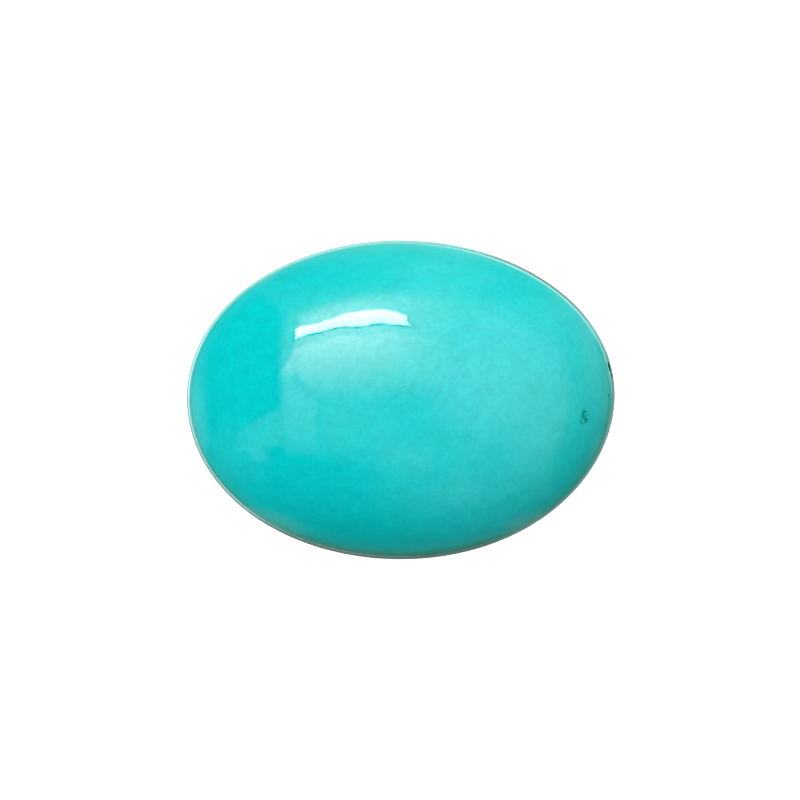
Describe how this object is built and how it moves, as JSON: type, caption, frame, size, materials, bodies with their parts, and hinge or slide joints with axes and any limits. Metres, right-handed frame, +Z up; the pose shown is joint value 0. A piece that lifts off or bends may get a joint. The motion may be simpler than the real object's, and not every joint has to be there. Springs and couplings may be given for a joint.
{
  "type": "turquoise cabochon",
  "caption": "Polished oval turquoise cabochon with a domed top, a thin girdle for a bezel to grip and a flat ground back to rest or set it on.",
  "frame": {"origin": "middle of the flat ground back", "axes": "+X along the stone's long axis, +Y along its short axis, +Z up through the dome"},
  "size_m": [0.016, 0.012, 0.0059],
  "materials": {
    "turquoise": "polished dome, matt ground girdle and back"
  },
  "bodies": {
    "root": {"turquoise_cabochon": "turquoise"}
  },
  "joints": []
}
